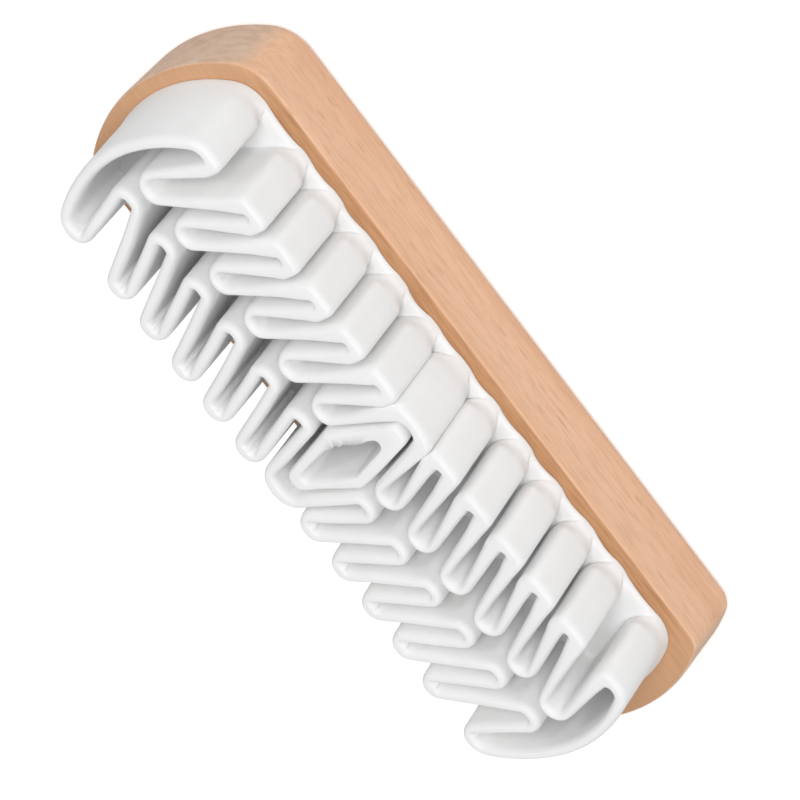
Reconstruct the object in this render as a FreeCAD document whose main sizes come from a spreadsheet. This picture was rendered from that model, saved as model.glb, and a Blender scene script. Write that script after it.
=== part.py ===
import FreeCAD, Part
import math
import os
import Sketcher

os.makedirs("parts", exist_ok=True)
doc = FreeCAD.newDocument("suede_brush")
V = FreeCAD.Vector

# Driving dimensions in millimetres
sizes = doc.addObject("Spreadsheet::Sheet", "sizes")
dimensions = [
    ("block_length", 135.4),
    ("block_width", 45.4),
    ("block_thickness", 14.0),
    ("block_end_radius", 38.0),
    ("block_corner_radius", 4.0),
    ("back_round", 2.6),
    ("face_round", 0.8),
    ("glue_thickness", 0.25),
    ("glue_inset", 0.7),
    ("backing_end_border", 1.5),
    ("backing_side_border", 0.7),
    ("backing_thickness", 1.8),
    ("comb_length", 127.2),
    ("comb_width", 38.6),
    ("comb_height", 14.45),
    ("comb_end_radius", 32.0),
    ("comb_corner_radius", 4.6),
    ("wall", 2.24),
    ("slot_width", 1.69),
    ("front_slot_reach", 3.0),
    ("rear_slot_reach", 3.3),
    ("end_cell_length", 8.7),
    ("wanted_pitch", 9.15),
    ("slots_per_half", "=round((comb_length / 2 - end_cell_length) / wanted_pitch)"),
    ("slot_pitch", "=(comb_length / 2 - end_cell_length) / slots_per_half"),
    ("tip_channel", 1.37),
    ("first_tip_share", 0.84),
    ("tip_pitch_share", 0.94),
    ("middle_mouth", 0.57),
    ("end_tip_inset", 2.47),
    ("front_bend_fullness", 0.97),
    ("rear_bend_fullness", 0.85),
    ("tip_fullness", 0.95),
    ("ring_wall", 2.4),
    ("ring_side_gap", 0.35),
    ("ring_end_gap", 2.2),
    ("ring_round_share", 0.75),
]
for row, (name, value) in enumerate(dimensions, start=1):
    sizes.set("A%d" % row, str(value))
    sizes.setAlias("A%d" % row, name)
doc.recompute()


def size(name):
    return float(sizes.get(name))


def origin_plane(body, role):
    for feature in body.Origin.OriginFeatures:
        if feature.Role == role:
            return feature


def upright_edges(shape):
    names = []
    for number, edge in enumerate(shape.Edges, start=1):
        first, last = edge.Vertexes[0].Point, edge.Vertexes[-1].Point
        if abs(first.x - last.x) < 1e-6 and abs(first.y - last.y) < 1e-6:
            names.append("Edge%d" % number)
    return names


def edges_at_height(shape, height):
    names = []
    for number, edge in enumerate(shape.Edges, start=1):
        box = edge.BoundBox
        if abs(box.ZMin - height) < 1e-4 and abs(box.ZMax - height) < 1e-4:
            names.append("Edge%d" % number)
    return names


# A flat plate with straight long sides, bowed ends and rounded corners
def bowed_plate(label, length, width, end_radius, corner_radius, thickness, bottom):
    body = doc.addObject("PartDesign::Body", label)
    body.Label = label
    plan = body.newObject("Sketcher::SketchObject", label + "_plan")
    plan.AttachmentSupport = [(origin_plane(body, "XY_Plane"), "")]
    plan.MapMode = "FlatFace"
    # A rough starting shape, which the constraints below bring to size
    reach, half, radius = 60.0, 20.0, 35.0
    lean = math.asin(half / radius)
    centre = reach - radius * math.cos(lean)
    up = V(0, 0, 1)
    plan.addGeometry(Part.LineSegment(V(-reach, half, 0), V(reach, half, 0)))
    right = Part.Circle(V(centre, 0, 0), up, radius)
    plan.addGeometry(Part.ArcOfCircle(right, -lean, lean))
    plan.addGeometry(Part.LineSegment(V(reach, -half, 0), V(-reach, -half, 0)))
    left = Part.Circle(V(-centre, 0, 0), up, radius)
    plan.addGeometry(Part.ArcOfCircle(left, math.pi - lean, math.pi + lean))
    plan.addConstraint(Sketcher.Constraint("Coincident", 0, 2, 1, 2))
    plan.addConstraint(Sketcher.Constraint("Coincident", 1, 1, 2, 1))
    plan.addConstraint(Sketcher.Constraint("Coincident", 2, 2, 3, 2))
    plan.addConstraint(Sketcher.Constraint("Coincident", 3, 1, 0, 1))
    plan.addConstraint(Sketcher.Constraint("Horizontal", 0))
    plan.addConstraint(Sketcher.Constraint("Horizontal", 2))
    plan.addConstraint(Sketcher.Constraint("PointOnObject", 1, 3, -1))
    plan.addConstraint(Sketcher.Constraint("PointOnObject", 3, 3, -1))
    plan.addConstraint(Sketcher.Constraint("Equal", 1, 3))
    bow_centre = "(%s) / 2 - (%s)" % (length, end_radius)
    driven = [
        (Sketcher.Constraint("Radius", 1, radius), "end_radius", end_radius),
        (Sketcher.Constraint("DistanceX", -1, 1, 1, 3, centre), "right_centre", bow_centre),
        (Sketcher.Constraint("DistanceX", 3, 3, -1, 1, centre), "left_centre", bow_centre),
        (Sketcher.Constraint("DistanceY", -1, 1, 1, 2, half), "rear_half", "(%s) / 2" % width),
        (Sketcher.Constraint("DistanceY", 1, 1, -1, 1, half), "front_half", "(%s) / 2" % width),
    ]
    for constraint, name, expression in driven:
        index = plan.addConstraint(constraint)
        plan.renameConstraint(index, name)
        plan.setExpression("Constraints." + name, expression)
    pad = body.newObject("PartDesign::Pad", label + "_pad")
    pad.Profile = plan
    pad.setExpression("Length", thickness)
    doc.recompute()
    corners = body.newObject("PartDesign::Fillet", label + "_corners")
    corners.Base = (pad, upright_edges(pad.Shape))
    corners.setExpression("Radius", corner_radius)
    body.setExpression("Placement.Base.z", bottom)
    doc.recompute()
    return body, corners


# Wooden handle block, resting on its back
handle, handle_corners = bowed_plate(
    "handle_block", "sizes.block_length", "sizes.block_width", "sizes.block_end_radius",
    "sizes.block_corner_radius", "sizes.block_thickness", "0 mm")
back_edges = handle.newObject("PartDesign::Fillet", "handle_back_round")
back_edges.Base = (handle_corners, edges_at_height(handle_corners.Shape, 0.0))
back_edges.setExpression("Radius", "sizes.back_round")
doc.recompute()
face_edges = handle.newObject("PartDesign::Fillet", "handle_face_round")
face_edges.Base = (back_edges, edges_at_height(back_edges.Shape, size("block_thickness")))
face_edges.setExpression("Radius", "sizes.face_round")
doc.recompute()

# Film of glue between the wood and the rubber
backing_length = "sizes.comb_length + 2 * sizes.backing_end_border"
backing_width = "sizes.comb_width + 2 * sizes.backing_side_border"
glue, glue_corners = bowed_plate(
    "glue_bed", backing_length + " - 2 * sizes.glue_inset", backing_width + " - 2 * sizes.glue_inset",
    "sizes.comb_end_radius", "sizes.comb_corner_radius", "sizes.glue_thickness", "sizes.block_thickness")

# Rubber backing sheet that carries the pleats
backing, backing_corners = bowed_plate(
    "crepe_backing", backing_length, backing_width, "sizes.comb_end_radius",
    "sizes.comb_corner_radius", "sizes.backing_thickness", "sizes.block_thickness + sizes.glue_thickness")
pleat_bottom = "sizes.block_thickness + sizes.glue_thickness + sizes.backing_thickness"


# Cuts a round of the given radius into the corner between two straight runs
def round_corner(before, corner, after, radius):
    back = (before - corner).normalize()
    ahead = (after - corner).normalize()
    half_angle = back.getAngle(ahead) / 2
    setback = radius / math.tan(half_angle)
    middle_line = (back + ahead).normalize()
    centre = corner + middle_line * (radius / math.sin(half_angle))
    return corner + back * setback, centre - middle_line * radius, corner + ahead * setback


# Length that a round of radius one takes from each run beside a corner
def setback_of(before, corner, after):
    return 1 / math.tan((before - corner).getAngle(after - corner) / 2)


# Heights across the brush of the bends and of the tips, on the strip's middle line
def pleat_lines(reach):
    return reach - size("wall") / 2, size("comb_width") / 2 - size("wall") / 2


# How much longer a cut across a swept arm is than the arm is thick
def arm_stretch(reach):
    bend_line, tip_line = pleat_lines(reach)
    count = int(size("slots_per_half"))
    middle = count // 2
    tip = size("first_tip_share") + size("tip_pitch_share") * (middle - 1)
    sweep = size("slot_pitch") * (middle + 0.5 - tip)
    return math.hypot(1, sweep / (tip_line - bend_line))


# Half the width of the middle cell at its tips, one narrow mouth away from the first arms
def middle_tip(reach):
    first_tip = size("first_tip_share") * size("slot_pitch")
    tip_half = (size("tip_channel") + size("wall")) / 2
    return first_tip - arm_stretch(reach) * (tip_half + size("wall") + size("middle_mouth"))


# Centres of the bowed end wall and of the round that joins it to the long side
def end_wall_centres():
    wall = size("wall")
    bow = size("comb_end_radius") - wall / 2
    turn = size("comb_corner_radius") - wall / 2
    bow_centre = size("comb_length") / 2 - size("comb_end_radius")
    turn_y = size("comb_width") / 2 - wall / 2 - turn
    turn_x = bow_centre + math.sqrt((bow - turn) ** 2 - turn_y ** 2)
    return bow, turn, bow_centre, turn_x, turn_y


# Corners of the pleats along one long side, from the left end to the right end
def pleat_corners(side, reach):
    pitch = size("slot_pitch")
    count = int(size("slots_per_half"))
    bend_line, tip_line = pleat_lines(reach)
    stretch = arm_stretch(reach)
    bend_half = (size("slot_width") + size("wall")) / 2 * stretch
    tip_half = (size("tip_channel") + size("wall")) / 2 * stretch
    half = [V(middle_tip(reach), side * tip_line, 0)]
    for rank in range(1, count + 1):
        half.append(V(pitch * rank - bend_half, side * bend_line, 0))
        half.append(V(pitch * rank + bend_half, side * bend_line, 0))
        if rank < count:
            tip = pitch * (size("first_tip_share") + size("tip_pitch_share") * (rank - 1))
            half.append(V(tip - tip_half, side * tip_line, 0))
            half.append(V(tip + tip_half, side * tip_line, 0))
    end_tip = end_wall_centres()[3] - size("end_tip_inset")
    half.append(V(end_tip, side * tip_line, 0))
    mirrored = [V(-corner.x, corner.y, 0) for corner in half]
    mirrored.reverse()
    return mirrored + half


# Joins one side's corners into straight runs and rounds. Each pair of corners turns the strip back,
# and shares the length between them as fully as the given share allows
def run_of_pleats(corners, start, finish, bend_fullness):
    points = [start] + corners + [finish]
    last = len(corners)
    turn = [0.0] * (last + 2)
    for index in range(1, last + 1):
        turn[index] = setback_of(points[index - 1], points[index], points[index + 1])
    edges = []
    here = start
    for index in range(1, last + 1):
        at_bend = index % 4 in (2, 3)
        partner = index + 1 if index % 2 == 0 else index - 1
        length = (points[partner] - points[index]).Length
        share = bend_fullness if at_bend else size("tip_fullness")
        radius = share * length / (turn[index] + turn[partner])
        first, middle, end = round_corner(points[index - 1], points[index], points[index + 1], radius)
        edges.append(Part.LineSegment(here, first).toShape())
        edges.append(Part.Arc(first, middle, end).toShape())
        here = end
    edges.append(Part.LineSegment(here, finish).toShape())
    return edges


# Bowed end wall with its two joining rounds, from the rear side to the front on the right-hand end
def end_wall(end, top_to_bottom):
    bow, turn, bow_centre, turn_x, turn_y = end_wall_centres()
    lean = math.atan2(turn_y, turn_x - bow_centre)
    half_lean = (math.pi / 2 + lean) / 2
    edges = []
    for side in (top_to_bottom, -top_to_bottom):
        centre = V(end * turn_x, side * turn_y, 0)
        on_side = centre + V(0, side * turn, 0)
        between = centre + V(end * turn * math.cos(half_lean), side * turn * math.sin(half_lean), 0)
        on_bow = centre + V(end * turn * math.cos(lean), side * turn * math.sin(lean), 0)
        edges.append((on_side, between, on_bow))
    apex = V(end * (bow_centre + bow), 0, 0)
    upper, lower = edges
    return [
        Part.Arc(upper[0], upper[1], upper[2]).toShape(),
        Part.Arc(upper[2], apex, lower[2]).toShape(),
        Part.Arc(lower[2], lower[1], lower[0]).toShape(),
    ]


# Middle line of the one closed pleated strip
bow, turn, bow_centre, turn_x, turn_y = end_wall_centres()
side_line = size("comb_width") / 2 - size("wall") / 2
rear = pleat_corners(1, size("rear_slot_reach"))
front = pleat_corners(-1, size("front_slot_reach"))
front.reverse()
rear_left, rear_right = V(-turn_x, side_line, 0), V(turn_x, side_line, 0)
front_right, front_left = V(turn_x, -side_line, 0), V(-turn_x, -side_line, 0)
strip = run_of_pleats(rear, rear_left, rear_right, size("rear_bend_fullness"))
strip += end_wall(1, 1)
strip += run_of_pleats(front, front_right, front_left, size("front_bend_fullness"))
strip += end_wall(-1, -1)
middle_line = Part.Wire(strip)


# Plan of a closed strip of the given wall, standing on the backing
def standing_strip(label, line, wall, height):
    outside = line.makeOffset2D(wall / 2)
    inside = line.makeOffset2D(-wall / 2)
    plan = doc.addObject("Part::Feature", label + "_plan")
    plan.Shape = Part.makeFace([outside, inside], "Part::FaceMakerBullseye")
    plan.setExpression("Placement.Base.z", pleat_bottom)
    strip_solid = doc.addObject("Part::Extrusion", label)
    strip_solid.Label = label
    strip_solid.Base = plan
    strip_solid.DirMode = "Custom"
    strip_solid.Dir = V(0, 0, 1)
    strip_solid.Solid = True
    strip_solid.setExpression("LengthFwd", height)
    doc.recompute()
    return strip_solid


pleats = standing_strip("crepe_pleats", middle_line, size("wall"), "sizes.comb_height")

# Small lozenge ring that stands in the middle cell, a gap away from the walls round it
ring_wall = size("ring_wall")
reach = max(size("front_slot_reach"), size("rear_slot_reach"))
bend_line, tip_line = pleat_lines(reach)
cell_wall = arm_stretch(reach) * (size("slot_width") / 2 + size("wall"))
cell_x = size("slot_pitch") - cell_wall
cell_tip_x = middle_tip(reach) - arm_stretch(reach) * size("wall") / 2
slope = (cell_x - cell_tip_x) / (tip_line - bend_line)
ring_y = size("comb_width") / 2 - size("wall") - size("ring_end_gap") - ring_wall / 2
ring_x = cell_x - size("ring_side_gap") - ring_wall / 2
tip_x = ring_x - slope * (ring_y - reach)
lozenge = [V(ring_x, 0, 0), V(tip_x, ring_y, 0), V(-tip_x, ring_y, 0)]
lozenge += [V(-ring_x, 0, 0), V(-tip_x, -ring_y, 0), V(tip_x, -ring_y, 0)]
rounds = []
for index, corner in enumerate(lozenge):
    following = lozenge[(index + 1) % len(lozenge)]
    radius = size("ring_round_share") * ring_wall
    if corner.y != 0:
        radius = size("tip_fullness") * tip_x / setback_of(lozenge[index - 1], corner, following)
    rounds.append(round_corner(lozenge[index - 1], corner, following, radius))
ring_edges = []
for index, (first, middle, last) in enumerate(rounds):
    ring_edges.append(Part.Arc(first, middle, last).toShape())
    next_first = rounds[(index + 1) % len(rounds)][0]
    ring_edges.append(Part.LineSegment(last, next_first).toShape())
ring = standing_strip("crepe_centre_ring", Part.Wire(ring_edges), ring_wall, "sizes.comb_height")

# Every feature must be sound before the pieces are written
doc.recompute()
for item in doc.Objects:
    if "Invalid" in item.State or "Error" in item.State:
        raise RuntimeError("feature failed: " + item.Label)
for piece in (handle, glue, backing, pleats, ring):
    if piece.Shape.isNull() or not piece.Shape.isValid():
        raise RuntimeError("bad solid: " + piece.Label)
    piece.Shape.exportStep("parts/" + piece.Label + ".step")
    box = piece.Shape.BoundBox
    print(piece.Label, len(piece.Shape.Solids), "solid", round(piece.Shape.Volume, 1), "mm3",
          [round(v, 2) for v in (box.XMin, box.XMax, box.YMin, box.YMax, box.ZMin, box.ZMax)])
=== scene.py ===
import math

import bmesh
import bpy
from mathutils import Matrix, Vector, noise


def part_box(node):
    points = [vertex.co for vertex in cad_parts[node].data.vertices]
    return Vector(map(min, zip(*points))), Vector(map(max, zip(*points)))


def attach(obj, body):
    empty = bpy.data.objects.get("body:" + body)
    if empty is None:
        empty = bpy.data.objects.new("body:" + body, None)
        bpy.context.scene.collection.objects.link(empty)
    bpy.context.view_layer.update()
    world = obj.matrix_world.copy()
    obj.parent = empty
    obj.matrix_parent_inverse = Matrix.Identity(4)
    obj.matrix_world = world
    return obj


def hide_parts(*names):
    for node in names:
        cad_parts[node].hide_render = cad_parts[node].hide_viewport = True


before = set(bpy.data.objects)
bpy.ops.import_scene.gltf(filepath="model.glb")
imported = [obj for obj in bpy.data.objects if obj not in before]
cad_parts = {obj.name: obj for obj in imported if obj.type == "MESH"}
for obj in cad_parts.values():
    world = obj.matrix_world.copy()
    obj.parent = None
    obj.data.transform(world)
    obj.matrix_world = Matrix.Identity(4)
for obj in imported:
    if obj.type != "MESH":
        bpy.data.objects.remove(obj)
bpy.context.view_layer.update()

MM = 0.001

# Blender seeds noise vectors from the clock, and the rims have to sway alike in each run
NOISE_SEED = 1795885596
noise.seed_set(NOISE_SEED)

# Sizes in millimetres, read from the pieces' boxes where the boxes hold them
pleat_low, pleat_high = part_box("crepe_pleats")
block_low, block_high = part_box("handle_block")
backing_low, backing_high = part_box("crepe_backing")
BLOCK_LENGTH = (block_high[0] - block_low[0]) / MM
BLOCK_WIDTH = (block_high[1] - block_low[1]) / MM
FACE_Z = block_high[2] / MM
BACKING_Z = backing_low[2] / MM
FLOOR_Z = backing_high[2] / MM
RIM_Z = pleat_high[2] / MM
COMB_LENGTH = (pleat_high[0] - pleat_low[0]) / MM
COMB_WIDTH = (pleat_high[1] - pleat_low[1]) / MM

# Wooden block, with its corner radii in turn: left rear, left front, right front, right rear.
# Left is the end at +X, and the front is the side at -Y.
BLOCK_END_RADIUS = 38.0
BLOCK_CORNER_RADII = (4.0, 8.5, 4.0, 4.0)
BACK_ROUND = 2.6
FACE_ROUND = 0.8
SIDE_ROW_SHARES = (0.45, 0.75)

# Folded strip, as the part's source has it
WALL = 2.24
SLOT = 1.69
FRONT_REACH = 3.0
REAR_REACH = 3.3
END_CELL = 8.7
SLOTS = 6
PITCH = (COMB_LENGTH / 2 - END_CELL) / SLOTS
TIP_CHANNEL = 1.37
FIRST_TIP = 0.84 * PITCH
TIP_PITCH = 0.94 * PITCH
MIDDLE_MOUTH = 0.57
END_TIP_INSET = 2.47
FRONT_FULLNESS = 0.97
REAR_FULLNESS = 0.85
TIP_FULLNESS = 0.95
END_RADIUS = 32.0
CORNER_RADIUS = 4.6

# Ring and its hole
RING = {"half_x": 5.5, "rear_y": 13.9, "front_y": 15.2, "tip": 1.6, "side_round": 2.2}
HOLE = {"half_x": 3.0, "rear_y": 10.6, "front_y": 9.0, "tip": 0.75, "side_round": 1.1}
LOZENGE_FULLNESS = 0.95
RING_SINK = 0.5
RING_DROP = 0.15

# Torn edge of the hole: the stretch of -Y that it fades in and out over, how far down it goes,
# how deep it is, and the sizes of its rags
TEAR_START = (-2.2, -1.2)
TEAR_END = (6.0, 7.2)
TEAR_FROM_SHARE = 0.955
TEAR_DEPTH = 0.1
TEAR_RAG = 0.3
TEAR_SEED = 5.1
TEAR_WAVE = 1.1
TEAR_FINE_SEED = 1.3
TEAR_FINE_WAVE = 2.6
TEAR_FINE_SHARE = 0.8

# Thickness of the strip: square front finger tips, thin bends, and fuller or wider channels.
# Each range is a stretch that a change fades over.
FINGER_SPREAD = 0.5
BEND_THINNING = 0.3
TIP_SQUARENESS = 4.2
ARM_RANGE = (4.0, 16.5)
TIP_RANGE = (13.5, 17.0)
END_FINGER_RANGE = (53.0, 57.0)
END_FACING_RANGE = (-0.6, 0.2)
FRONT_CHANNEL_FILL = 0.25
REAR_CHANNEL_EASE = 0.25
REAR_TIP_FILL = 0.6
CHANNEL_RANGE = (12.0, 17.0)
END_CHANNEL_RANGE = (52.0, 57.0)
BOWED_END_X = 55.0

# Section of the walls
RIM_ROUND_X = 0.85
RIM_ROUND_Z = 1.4
WALL_FLARE = 0.1
FLARE_POWER = 1.5
UPPER_ROWS = 6
FOOT_LIFT = 0.1
RIM_RISE = 0.14
RISE_WAVE = 0.11
RISE_SEED = 8.2

# Lean and flare of the feet, and sway of the rims, which differs on the right half, at -X
FOOT_LEAN = 1.0
SKIRT = 0.8
LEFT_END_SKIRT = 0.3
SKIRT_HEIGHT = 3.5
SKIRT_END_RANGE = (51.0, 61.0)
SKIRT_SIDE_RANGE = (14.0, 18.0)
RIGHT_HALF_RANGE = (-8.0, 8.0)
RIGHT_WANE = 0.5
RIGHT_WANE_RANGE = (12.0, 58.0)
RIGHT_END_RANGE = (58.0, 63.0)
RIGHT_SWAY_X = -0.7
RIGHT_SWAY_Y = 0.55
RIGHT_SWAY_RANGE = (4.0, 16.0)
LEFT_SWAY_Y = 0.5
LEFT_SWAY_RANGE = (8.0, 18.0)
SWAY_SEED = 3.7
SWAY_WAVE = 0.06
SWAY_WAVE_X = 0.22
SWAY_WAVE_Y = 0.18

# Webs of rubber between the feet of the fingers
WEB_RECESS = 0.8
FRONT_WEB = 0.9
REAR_WEB = 3.0
WEB_CLIMB = 1.1
WEB_SOFTNESS = 1.0
WEB_SOFT_SHARE = 0.7
WEB_ROW = 0.15
WEB_HEADROOM = 1.0
EASINGS = 12
EASING = 0.2
SOFT_FOOT_RANGE = (1.5, 4.0)

# Sheets under the comb
BACKING_INSET = 1.6
BACKING_SHOWN = 0.3
GLUE_INSET = 0.9

# Numbers of points along the outlines and of steps in the rounds, and the gap that points merge over
PLEAT_POINTS = 2200
RING_POINTS = 300
SHEET_POINTS = 220
BLOCK_POINTS = 440
BEND_STEPS = 8
CORNER_STEPS = 12
END_STEPS = 60
BACK_STEPS = 8
FACE_STEPS = 5
RIM_STEPS = 8
MERGE_GAP = 0.001


# Plan curves

def smooth(value, low, high):
    share = min(max((value - low) / (high - low), 0.0), 1.0)
    return share * share * (3 - 2 * share)


def arc(centre, radius, start, finish, steps):
    points = []
    for step in range(steps + 1):
        angle = start + (finish - start) * step / steps
        points.append(centre + radius * Vector((math.cos(angle), math.sin(angle))))
    return points


def rounded(before, corner, after, radius):
    back = (before - corner).normalized()
    ahead = (after - corner).normalized()
    half = back.angle(ahead) / 2
    centre = corner + (back + ahead).normalized() * (radius / math.sin(half))
    first = corner + back * (radius / math.tan(half)) - centre
    last = corner + ahead * (radius / math.tan(half)) - centre
    start = math.atan2(first.y, first.x)
    turn = (math.atan2(last.y, last.x) - start + math.pi) % (2 * math.pi) - math.pi
    return arc(centre, radius, start, start + turn, BEND_STEPS)


# Length that a round of unit radius takes off each side of a corner
def setback(before, corner, after):
    return 1 / math.tan((before - corner).angle(after - corner) / 2)


# Middle lines of the strip at its bends and at its tips, as distances from the comb's middle
def pleat_lines(reach):
    return reach - WALL / 2, COMB_WIDTH / 2 - WALL / 2


# How much wider a swept arm measures along the comb than across itself
def arm_stretch(reach):
    bend_line, tip_line = pleat_lines(reach)
    middle = SLOTS // 2
    sweep = PITCH * (middle + 0.5) - FIRST_TIP - TIP_PITCH * (middle - 1)
    return math.hypot(1, sweep / (tip_line - bend_line))


# Corners of the strip along one long side, from -X to +X
def side_corners(side, reach, end_x):
    bend_line, tip_line = pleat_lines(reach)
    stretch = arm_stretch(reach)
    bend_half = (SLOT + WALL) / 2 * stretch
    tip_half = (TIP_CHANNEL + WALL) / 2 * stretch
    half = [(FIRST_TIP - tip_half - (WALL + MIDDLE_MOUTH) * stretch, tip_line)]
    for rank in range(1, SLOTS + 1):
        half += [(PITCH * rank - bend_half, bend_line), (PITCH * rank + bend_half, bend_line)]
        tip = FIRST_TIP + TIP_PITCH * (rank - 1)
        if rank < SLOTS:
            half += [(tip - tip_half, tip_line), (tip + tip_half, tip_line)]
    half.append((end_x - END_TIP_INSET, tip_line))
    mirrored = [Vector((-x, side * y)) for x, y in reversed(half)]
    return mirrored + [Vector((x, side * y)) for x, y in half]


# Bowed end of a plate with two rounded corners, turned to the wanted end and first side
def bowed_end(length, width, end_radius, corner_radii, end, side):
    middle = Vector((length / 2 - end_radius, 0))
    turns = []
    for radius in corner_radii:
        turn_y = width / 2 - radius
        run = math.sqrt((end_radius - radius) ** 2 - turn_y ** 2)
        turns.append((Vector((middle.x + run, turn_y)), math.atan2(turn_y, run)))
    (first, first_lean), (last, last_lean) = turns
    points = arc(first, corner_radii[0], math.pi / 2, first_lean, CORNER_STEPS)
    points += arc(middle, end_radius, first_lean, -last_lean, END_STEPS)[1:-1]
    mirrored = Vector((last.x, -last.y))
    points += arc(mirrored, corner_radii[1], -last_lean, -math.pi / 2, CORNER_STEPS)
    return [Vector((end * spot.x, side * spot.y)) for spot in points]


# Corner radii in turn: left rear, left front, right front, right rear
def plate_outline(length, width, end_radius, corner_radii):
    return (bowed_end(length, width, end_radius, corner_radii[:2], 1, 1)
            + bowed_end(length, width, end_radius, corner_radii[2:], -1, -1))


# Each pair of corners turns the strip back, and its rounds share the length between them
def join_corners(corners, start, finish, bend_fullness):
    points = [start] + corners + [finish]
    turns = [0.0] * len(points)
    for index in range(1, len(points) - 1):
        turns[index] = setback(points[index - 1], points[index], points[index + 1])
    line = [start]
    for index in range(1, len(points) - 1):
        partner = index + 1 if index % 2 == 0 else index - 1
        fullness = bend_fullness if index % 4 in (2, 3) else TIP_FULLNESS
        radius = fullness * (points[partner] - points[index]).length / (turns[index] + turns[partner])
        line += rounded(points[index - 1], points[index], points[index + 1], radius)
    return line + [finish]


# Middle line of the folded strip
def pleat_line():
    size = (COMB_LENGTH - WALL, COMB_WIDTH - WALL, END_RADIUS - WALL / 2)
    corner_radii = [CORNER_RADIUS - WALL / 2] * 2
    left_end = bowed_end(*size, corner_radii, 1, 1)
    right_end = bowed_end(*size, corner_radii, -1, -1)
    rear = side_corners(1, REAR_REACH, left_end[0].x)
    front = side_corners(-1, FRONT_REACH, left_end[0].x)[::-1]
    line = join_corners(rear, right_end[-1], left_end[0], REAR_FULLNESS) + left_end
    return line + join_corners(front, left_end[-1], right_end[0], FRONT_FULLNESS) + right_end


def lozenge(half_x, rear_y, front_y, tip, side_round):
    points = [Vector(spot) for spot in ((half_x, 0), (tip, rear_y), (-tip, rear_y),
                                        (-half_x, 0), (-tip, -front_y), (tip, -front_y))]
    line = []
    for index, corner in enumerate(points):
        before, after = points[index - 1], points[(index + 1) % len(points)]
        radius = side_round
        if corner.y:
            radius = LOZENGE_FULLNESS * tip / setback(before, corner, after)
        line += rounded(before, corner, after, radius)
    return line


# Closed line drawn again with evenly spaced points
def even_steps(line, count):
    closed = line + [line[0]]
    lengths = [0.0]
    for a, b in zip(closed, closed[1:]):
        lengths.append(lengths[-1] + (b - a).length)
    points, index = [], 0
    for number in range(count):
        wanted = lengths[-1] * number / count
        while lengths[index + 1] < wanted:
            index += 1
        span = lengths[index + 1] - lengths[index]
        share = (wanted - lengths[index]) / span if span > 1e-9 else 0.0
        points.append(closed[index].lerp(closed[index + 1], share))
    return points


# Normals that point out of a closed line
def normals_of(line):
    normals, area = [], 0.0
    for index in range(len(line)):
        following = line[(index + 1) % len(line)]
        area += line[index].cross(following)
        ahead = (following - line[index - 1]).normalized()
        normals.append(Vector((ahead.y, -ahead.x)))
    return normals if area > 0 else [-normal for normal in normals]


# How far the strip is thicker than its plain wall on the side of the slots: the front fingers
# have full, square tips, and the turns between them are thin
def slot_side_extra(spot, normal):
    if spot.y > 0:
        return 0.0
    arm = (FINGER_SPREAD + BEND_THINNING) * smooth(-spot.y, *ARM_RANGE) - BEND_THINNING
    plain = (WALL + TIP_CHANNEL) / 2 + WALL / 2
    lengthways = (abs(normal.y) / plain) ** TIP_SQUARENESS
    sideways = (abs(normal.x) / (plain + FINGER_SPREAD)) ** TIP_SQUARENESS
    square = (lengthways + sideways) ** (-1 / TIP_SQUARENESS) - plain
    outward = normal.x if spot.x > 0 else -normal.x
    end_wall = smooth(abs(spot.x), *END_FINGER_RANGE) * smooth(outward, *END_FACING_RANGE)
    return (arm + (square - arm) * smooth(-spot.y, *TIP_RANGE)) * (1 - end_wall)


# The same on the side of the cells: front channels are narrow there, and rear ones wide and short
def cell_side_extra(spot, normal):
    share = smooth(abs(spot.y), *CHANNEL_RANGE) * (1 - smooth(abs(spot.x), *END_CHANNEL_RANGE))
    if spot.y < 0:
        return share * FRONT_CHANNEL_FILL
    return share * (REAR_TIP_FILL * normal.y ** 2 - REAR_CHANNEL_EASE * normal.x ** 2)


# Meshes

# Piece from rows of points in millimetres, with the last row joined to the first or both capped
def make_piece(name, rows, material, looped):
    count = len(rows[0])
    points = [(x * MM, y * MM, z * MM) for row in rows for x, y, z in row]
    faces = []
    for row in range(len(rows) if looped else len(rows) - 1):
        here = row * count
        above = (row + 1) % len(rows) * count
        for index in range(count):
            following = (index + 1) % count
            faces.append((here + index, here + following, above + following, above + index))
    if not looped:
        faces.append(tuple(range(count - 1, -1, -1)))
        faces.append(tuple(range(len(points) - count, len(points))))
    mesh = bpy.data.meshes.new(name)
    mesh.from_pydata(points, [], faces)
    work = bmesh.new()
    work.from_mesh(mesh)
    bmesh.ops.remove_doubles(work, verts=work.verts, dist=MERGE_GAP * MM)
    bmesh.ops.recalc_face_normals(work, faces=work.faces)
    work.to_mesh(mesh)
    work.free()
    for polygon in mesh.polygons:
        polygon.use_smooth = True
    piece = bpy.data.objects.new(name, mesh)
    bpy.context.scene.collection.objects.link(piece)
    mesh.materials.append(material)
    return piece


# Quarter round of unit size, as pairs that grow from 0 to 1 and shrink from 1 to 0
def quarter(steps):
    angles = [math.pi / 2 * step / steps for step in range(steps + 1)]
    return [(1 - math.cos(angle), 1 - math.sin(angle)) for angle in angles]


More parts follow.
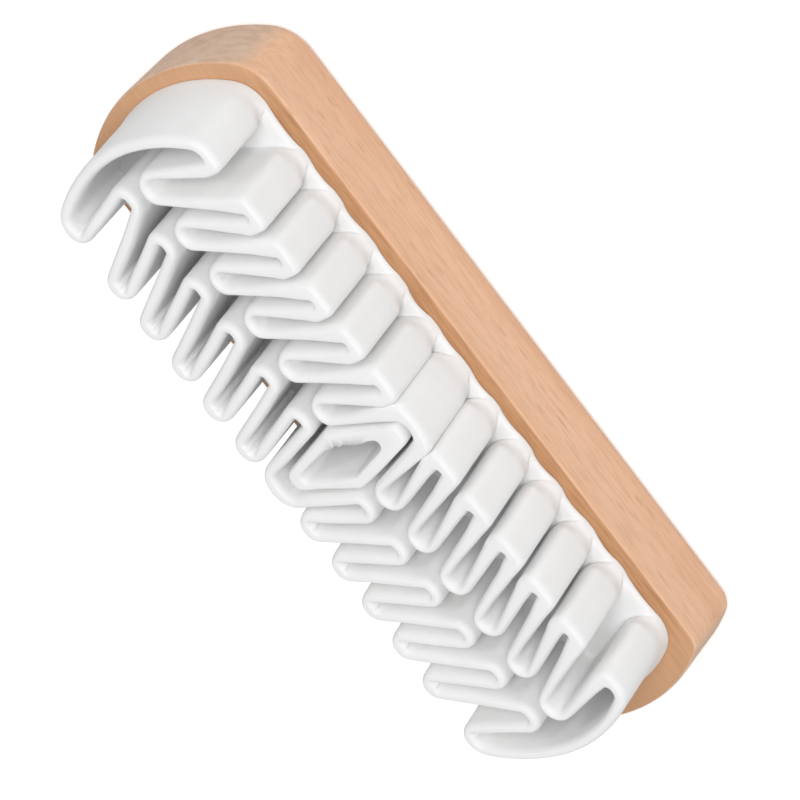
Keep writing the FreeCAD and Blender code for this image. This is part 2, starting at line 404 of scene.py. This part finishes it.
# Where a point of the moulding lies at a height: its foot leans and spreads, and its soft rim sways
def settled(spot, z):
    share = (z - FACE_Z) / (RIM_Z - FACE_Z)
    skirt = max(1 - (z - FACE_Z) / SKIRT_HEIGHT, 0.0) ** 2
    at_end = smooth(abs(spot.x), *SKIRT_END_RANGE)
    end_skirt = at_end * (LEFT_END_SKIRT if spot.x > 0 else SKIRT)
    side_skirt = SKIRT * smooth(abs(spot.y), *SKIRT_SIDE_RANGE) * (1 - at_end)
    x = spot.x + FOOT_LEAN * (1 - share) + math.copysign(skirt * end_skirt, spot.x)
    y = spot.y + math.copysign(skirt * side_skirt, spot.y)
    right_half = smooth(-spot.x, *RIGHT_HALF_RANGE) * (1 - smooth(-spot.x, *RIGHT_END_RANGE))
    right_half *= 1 - RIGHT_WANE * smooth(-spot.x, *RIGHT_WANE_RANGE)
    sway_y = RIGHT_SWAY_Y * right_half * (1 - smooth(spot.y, *RIGHT_SWAY_RANGE))
    sway_y += LEFT_SWAY_Y * (1 - right_half) * smooth(spot.y, *LEFT_SWAY_RANGE)
    wave = noise.noise_vector(Vector((spot.x * SWAY_WAVE, spot.y * SWAY_WAVE, SWAY_SEED)))
    x += share * (RIGHT_SWAY_X * right_half + SWAY_WAVE_X * wave.x)
    y += share * (sway_y + SWAY_WAVE_Y * wave.y)
    return x, y


# Section of a wall from its foot to the middle of its rounded rim, as inset and height
def wall_section(foot, top):
    shoulder = top - RIM_ROUND_Z
    crown = FACE_Z + REAR_WEB + WEB_CLIMB + WEB_HEADROOM
    low_rows = round((crown - foot) / WEB_ROW)
    heights = [foot + (crown - foot) * step / low_rows for step in range(low_rows)]
    heights += [crown + (shoulder - crown) * step / UPPER_ROWS for step in range(UPPER_ROWS)]
    rows = [(-WALL_FLARE * ((shoulder - z) / (shoulder - foot)) ** FLARE_POWER, z) for z in heights]
    return rows + [(RIM_ROUND_X * grown, top - RIM_ROUND_Z * left) for grown, left in quarter(RIM_STEPS)]


def side_index(spot):
    return 0 if spot.y < 0 else 1


# Plan line at a height above the wood with its slots filled, each fill with a soft hollow face:
# the rubber between the feet of the fingers lies deeper the higher it is
def webbed(line, depths, height):
    starts, bottoms = [], []
    for lip in (FRONT_WEB, REAR_WEB):
        limit = WEB_RECESS + COMB_WIDTH / 2 * (max(height - lip, 0.0) / WEB_CLIMB) ** 3
        softness = min(WEB_SOFTNESS, WEB_SOFT_SHARE * limit)
        starts.append(limit - softness)
        bottoms.append(limit + softness / 3)
    runs, run = [], []
    for index, depth in enumerate(depths):
        if depth > starts[side_index(line[index])]:
            run.append(index)
        elif run:
            runs.append(run)
            run = []
    filled = list(line)
    for run in runs:
        bottom = bottoms[side_index(line[run[0]])]
        reached = min(bottom, max(depths[index] for index in run))
        inside = [index for index in run if depths[index] >= reached]
        a, b, c, d = line[run[0] - 1], line[inside[0]], line[inside[-1]], line[run[-1] + 1]
        for rank, index in enumerate(run):
            t = (rank + 1) / (len(run) + 1)
            filled[index] = ((1 - t) ** 3 * a + 3 * t * (1 - t) ** 2 * b
                             + 3 * t ** 2 * (1 - t) * c + t ** 3 * d)
    return filled


# Plan lines with each point drawn towards the points above, below and, low down, beside it
def eased(lines, heights):
    fresh = []
    for row, line in enumerate(lines):
        above, below = lines[min(row + 1, len(lines) - 1)], lines[max(row - 1, 0)]
        low = 1 - smooth(heights[row], *SOFT_FOOT_RANGE)
        moved = []
        for index, spot in enumerate(line):
            stacked = above[index] + below[index] - 2 * spot
            beside = line[index - 1] + line[(index + 1) % len(line)] - 2 * spot
            moved.append(spot + EASING * stacked + EASING * low * beside)
        fresh.append(moved)
    return fresh


# Row of a wall's side: a plan line set in towards the other side, at a height
def wall_row(line, other, inset, z, share, torn=None):
    row = []
    for spot, across in zip(line, other):
        push = torn(spot, inset, share) if torn else inset
        x, y = settled(spot + (across - spot).normalized() * push, z)
        rise = RIM_RISE * noise.noise(Vector((spot.x * RISE_WAVE, spot.y * RISE_WAVE, RISE_SEED)))
        row.append((x, y, z + rise * share))
    return row


# Wall between two matched plan lines, with soft rims
def soft_wall(name, outer, inner, material, foot, top, depths=None, torn=None):
    section = wall_section(foot, top)
    outer_lines = [outer] * len(section)
    if depths:
        heights = [z - FACE_Z for inset, z in section]
        outer_lines = [webbed(outer, depths, height) for height in heights]
        for number in range(EASINGS):
            outer_lines = eased(outer_lines, heights)
    rows = []
    for (inset, z), line in zip(section, outer_lines):
        rows.append(wall_row(line, inner, inset, z, (z - foot) / (top - foot)))
    for inset, z in reversed(section):
        rows.append(wall_row(inner, outer, inset, z, (z - foot) / (top - foot), torn))
    return make_piece(name, rows, material, looped=True)


# Inset of a rim with the ragged edge that is left along one side of the ring's hole
def torn_edge(spot, inset, share):
    along = smooth(-spot.y, *TEAR_START) * (1 - smooth(-spot.y, *TEAR_END))
    if spot.x <= 0 or not along or share < TEAR_FROM_SHARE:
        return inset
    rag = noise.noise(Vector((spot.y * TEAR_WAVE, TEAR_SEED, 0.0)))
    rag += TEAR_FINE_SHARE * noise.noise(Vector((spot.y * TEAR_FINE_WAVE, TEAR_FINE_SEED, 0.0)))
    return inset * (1 - along) - along * (TEAR_DEPTH + TEAR_RAG * rag)


# Folded comb of rubber, one closed strip
def pleated_comb(name, material):
    middle = even_steps(pleat_line(), PLEAT_POINTS)
    outer, inner, depths = [], [], []
    for spot, normal in zip(middle, normals_of(middle)):
        outer.append(spot + normal * (WALL / 2 + slot_side_extra(spot, normal)))
        inner.append(spot - normal * (WALL / 2 + cell_side_extra(spot, normal)))
        at_end = abs(spot.x) > BOWED_END_X and normal.x * spot.x > 0
        depths.append(0.0 if at_end else COMB_WIDTH / 2 - abs(spot.y + normal.y * WALL / 2))
    return soft_wall(name, outer, inner, material, FACE_Z + FOOT_LIFT, RIM_Z, depths)


def centre_ring(name, material):
    outer = even_steps(lozenge(**RING), RING_POINTS)
    inner = even_steps(lozenge(**HOLE), RING_POINTS)
    foot, top = FLOOR_Z - RING_SINK, RIM_Z - RING_DROP
    return soft_wall(name, outer, inner, material, foot, top, torn=torn_edge)


# Thin sheet under the comb, with its edge a little inside the comb's foot
def thin_sheet(name, inset, low, high, material):
    plate = plate_outline(COMB_LENGTH - 2 * inset, COMB_WIDTH - 2 * inset, END_RADIUS, [CORNER_RADIUS] * 4)
    outline = even_steps(plate, SHEET_POINTS)
    rows = [[(*settled(spot, FACE_Z), z) for spot in outline] for z in (low, high)]
    return make_piece(name, rows, material, looped=False)


# Wooden block with eased edges
def beech_block(name, material):
    plate = plate_outline(BLOCK_LENGTH, BLOCK_WIDTH, BLOCK_END_RADIUS, BLOCK_CORNER_RADII)
    outline = even_steps(plate, BLOCK_POINTS)
    normals = normals_of(outline)
    levels = [(BACK_ROUND * left, BACK_ROUND * grown) for grown, left in quarter(BACK_STEPS)]
    levels += [(0.0, FACE_Z * share) for share in SIDE_ROW_SHARES]
    levels += [(FACE_ROUND * grown, FACE_Z - FACE_ROUND * left) for grown, left in quarter(FACE_STEPS)]
    rows = []
    for inset, z in levels:
        moved = [spot - normal * inset for spot, normal in zip(outline, normals)]
        rows.append([(spot.x, spot.y, z) for spot in moved])
    return make_piece(name, rows, material, looped=False)


# Materials, with texture scales per metre along X, Y and Z

def principled(name, colour, roughness, specular=0.5):
    material = bpy.data.materials.new(name)
    material.use_nodes = True
    shader = material.node_tree.nodes["Principled BSDF"]
    shader.inputs["Base Color"].default_value = (*colour, 1.0)
    shader.inputs["Roughness"].default_value = roughness
    shader.inputs["Specular IOR Level"].default_value = specular
    return material, material.node_tree, shader


def add_node(tree, kind, **settings):
    node = tree.nodes.new(kind)
    for key, value in settings.items():
        setattr(node, key, value)
    return node


def object_coords(tree):
    return add_node(tree, "ShaderNodeTexCoord").outputs["Object"]


def stretched(tree, coords, scale):
    mapping = add_node(tree, "ShaderNodeMapping")
    mapping.inputs["Scale"].default_value = scale
    tree.links.new(coords, mapping.inputs["Vector"])
    return mapping.outputs["Vector"]


def ramp(tree, value, low, high, first=0.0, last=1.0):
    node = add_node(tree, "ShaderNodeMapRange", interpolation_type="SMOOTHSTEP")
    node.inputs["From Min"].default_value = low
    node.inputs["From Max"].default_value = high
    node.inputs["To Min"].default_value = first
    node.inputs["To Max"].default_value = last
    tree.links.new(value, node.inputs["Value"])
    return node.outputs["Result"]


def mixed(tree, factor, first, second):
    node = add_node(tree, "ShaderNodeMix", data_type="RGBA")
    tree.links.new(factor, node.inputs["Factor"])
    for socket, value in ((node.inputs[6], first), (node.inputs[7], second)):
        if isinstance(value, tuple):
            socket.default_value = (*value, 1.0)
        else:
            tree.links.new(value, socket)
    return node.outputs[2]


def noise_share(tree, coords, scale, detail):
    node = add_node(tree, "ShaderNodeTexNoise")
    node.inputs["Scale"].default_value = 1.0
    node.inputs["Detail"].default_value = detail
    tree.links.new(stretched(tree, coords, scale), node.inputs["Vector"])
    return node.outputs["Fac"]


# Size of one axis of a vector, without its sign
def axis_size(tree, vector, axis):
    parts = add_node(tree, "ShaderNodeSeparateXYZ")
    tree.links.new(vector, parts.inputs["Vector"])
    size = add_node(tree, "ShaderNodeMath", operation="ABSOLUTE")
    tree.links.new(parts.outputs[axis], size.inputs[0])
    return size.outputs[0]


def add_relief(tree, shader, height, strength, depth=0.0002):
    bump = add_node(tree, "ShaderNodeBump")
    bump.inputs["Strength"].default_value = strength
    bump.inputs["Distance"].default_value = depth
    tree.links.new(height, bump.inputs["Height"])
    tree.links.new(bump.outputs["Normal"], shader.inputs["Normal"])


# Short dark dashes along the grain
def dashes(tree, coords, scale, strength):
    cells = add_node(tree, "ShaderNodeTexVoronoi")
    cells.inputs["Scale"].default_value = 1.0
    tree.links.new(stretched(tree, coords, scale), cells.inputs["Vector"])
    return ramp(tree, cells.outputs["Distance"], 0.22, 0.08, 0.0, strength)


# Beech with streaks, flecks, painted shade of the rubber walls on its up-facing face that is paler at its
# ends, and grey end grain
def beech_material():
    pale, warm, fibre = (0.90, 0.575, 0.385), (0.83, 0.495, 0.31), (0.72, 0.42, 0.26)
    fleck, small_fleck = (0.58, 0.30, 0.17), (0.62, 0.34, 0.20)
    # Colours of the painted shade that the rubber walls cast on the up-facing face
    face_shade, face_shade_dark, face_shade_end = (0.56, 0.295, 0.15), (0.46, 0.225, 0.105), (0.74, 0.44, 0.26)
    end_pale, end_dark, end_warm = (0.74, 0.55, 0.42), (0.62, 0.43, 0.31), (0.66, 0.42, 0.27)
    material, tree, shader = principled("beech", pale, 0.62, 0.2)
    coords = object_coords(tree)
    streak = noise_share(tree, coords, (14, 230, 230), 3.0)
    fine = noise_share(tree, coords, (170, 1500, 1500), 3.0)
    colour = mixed(tree, ramp(tree, streak, 0.34, 0.66), pale, warm)
    colour = mixed(tree, ramp(tree, fine, 0.42, 0.72, 0.0, 0.5), colour, fibre)
    colour = mixed(tree, dashes(tree, coords, (130, 620, 620), 0.36), colour, fleck)
    colour = mixed(tree, dashes(tree, coords, (260, 1300, 1300), 0.25), colour, small_fleck)
    normal = add_node(tree, "ShaderNodeNewGeometry").outputs["Normal"]
    up = add_node(tree, "ShaderNodeSeparateXYZ")
    tree.links.new(normal, up.inputs["Vector"])
    # Painted shade: the up-facing face beside the rubber walls is darkened, and paler towards the ends
    face = mixed(tree, ramp(tree, fine, 0.35, 0.7), face_shade, face_shade_dark)
    towards_ends = ramp(tree, axis_size(tree, coords, "X"), 0.050, 0.064, 0.0, 0.65)
    face = mixed(tree, towards_ends, face, face_shade_end)
    colour = mixed(tree, ramp(tree, up.outputs["Z"], 0.6, 0.95), colour, face)
    pores = noise_share(tree, coords, (500, 300, 900), 2.0)
    warmth = noise_share(tree, coords, (60, 60, 60), 1.0)
    end_grain = mixed(tree, ramp(tree, pores, 0.3, 0.75), end_pale, end_dark)
    end_grain = mixed(tree, ramp(tree, warmth, 0.45, 0.7, 0.0, 0.5), end_grain, end_warm)
    facing_end = ramp(tree, axis_size(tree, normal, "X"), 0.5, 0.92, 0.0, 0.9)
    tree.links.new(mixed(tree, facing_end, colour, end_grain), shader.inputs["Base Color"])
    add_relief(tree, shader, fine, 0.15)
    return material


# Cloudy colour between two shades
def cloudy(tree, shader, scale, first, second):
    cloud = noise_share(tree, object_coords(tree), (scale, scale, scale), 2.0)
    tree.links.new(mixed(tree, ramp(tree, cloud, 0.3, 0.7), first, second), shader.inputs["Base Color"])


def rubber_material():
    white, shade = (0.95, 0.95, 0.95), (0.93, 0.93, 0.925)
    material, tree, shader = principled("crepe_rubber", white, 0.9, 0.1)
    cloudy(tree, shader, 110, white, shade)
    grain = noise_share(tree, object_coords(tree), (1400, 1400, 1400), 3.0)
    add_relief(tree, shader, grain, 0.12)
    return material


def glue_material():
    pale, deep = (0.82, 0.78, 0.68), (0.74, 0.69, 0.58)
    material, tree, shader = principled("dried_glue", pale, 0.5)
    cloudy(tree, shader, 300, pale, deep)
    return material


# Pieces
beech = beech_material()
rubber = rubber_material()
glue = glue_material()
block = beech_block("beech_block", beech)
pleats = pleated_comb("pleated_comb", rubber)
ring = centre_ring("centre_ring", rubber)
backing = thin_sheet("rubber_backing", BACKING_INSET, BACKING_Z, BACKING_Z + BACKING_SHOWN, rubber)
glue_film = thin_sheet("glue_film", GLUE_INSET, FACE_Z, BACKING_Z, glue)
for piece, node, slot in ((block, "handle_block", "beech"), (glue_film, "glue_bed", "glue"),
                          (backing, "crepe_backing", "crepe_rubber"),
                          (pleats, "crepe_pleats", "crepe_rubber"),
                          (ring, "crepe_centre_ring", "crepe_rubber")):
    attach(piece, "root")
    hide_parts(node)


# Floor, light and camera, in metres

# Pale floor that looks white where it is seen, and keeps the shadow
def studio_floor(width, grey, glow):
    bpy.ops.mesh.primitive_plane_add(size=width, location=(0, 0, 0))
    plane = bpy.context.object
    plane.name = "floor"
    material, tree, shader = principled("floor", (grey, grey, grey), 0.9, 0.0)
    shader.inputs["Emission Color"].default_value = (1, 1, 1, 1)
    rays = add_node(tree, "ShaderNodeLightPath")
    seen = rays.outputs["Is Camera Ray"]
    for kind in ("Is Glossy Ray", "Is Transmission Ray"):
        either = add_node(tree, "ShaderNodeMath", operation="MAXIMUM")
        tree.links.new(seen, either.inputs[0])
        tree.links.new(rays.outputs[kind], either.inputs[1])
        seen = either.outputs[0]
    boost = add_node(tree, "ShaderNodeMath", operation="MULTIPLY")
    boost.inputs[1].default_value = glow
    tree.links.new(seen, boost.inputs[0])
    tree.links.new(boost.outputs[0], shader.inputs["Emission Strength"])
    plane.data.materials.append(material)
    return plane


def studio_world(strength):
    world = bpy.data.worlds.new("studio")
    bpy.context.scene.world = world
    world.use_nodes = True
    background = world.node_tree.nodes["Background"]
    background.inputs["Color"].default_value = (1, 1, 1, 1)
    background.inputs["Strength"].default_value = strength


def soft_light(name, place, width, watts):
    data = bpy.data.lights.new(name, "AREA")
    data.shape = "DISK"
    data.size = width
    data.energy = watts
    lamp = bpy.data.objects.new(name, data)
    lamp.location = place
    lamp.rotation_euler = (-Vector(place)).to_track_quat("-Z", "Y").to_euler()
    bpy.context.scene.collection.objects.link(lamp)


# Camera that was fitted to the photo: its place from the middle of the wood's face, and its axes
def photo_camera():
    focal_pixels, photo_pixels, sensor = 4029.2, 800, 36.0
    place = Vector((0.13842, -0.47896, 0.44361 + FACE_Z * MM))
    right = Vector((-0.59744, -0.63228, -0.49324))
    down = Vector((-0.77448, 0.29543, 0.55938))
    ahead = Vector((-0.20797, 0.71620, -0.66619))
    data = bpy.data.cameras.new("camera")
    data.sensor_width = sensor
    data.lens = focal_pixels / photo_pixels * sensor
    data.clip_start = 0.01
    camera = bpy.data.objects.new("camera", data)
    turn = Matrix((right, -down, -ahead)).transposed().to_4x4()
    camera.matrix_world = Matrix.Translation(place) @ turn
    bpy.context.scene.collection.objects.link(camera)
    bpy.context.scene.camera = camera


floor = studio_floor(width=6.0, grey=0.86, glow=0.42)
studio_world(0.26)
soft_light("key", (0.19, -0.68, 0.97), 0.7, 8.1)
soft_light("left", (0.85, -0.07, 0.85), 0.5, 2.2)
soft_light("right", (-0.9, -0.1, 0.75), 0.5, 2.2)
photo_camera()
bpy.context.scene.view_settings.view_transform = "Standard"
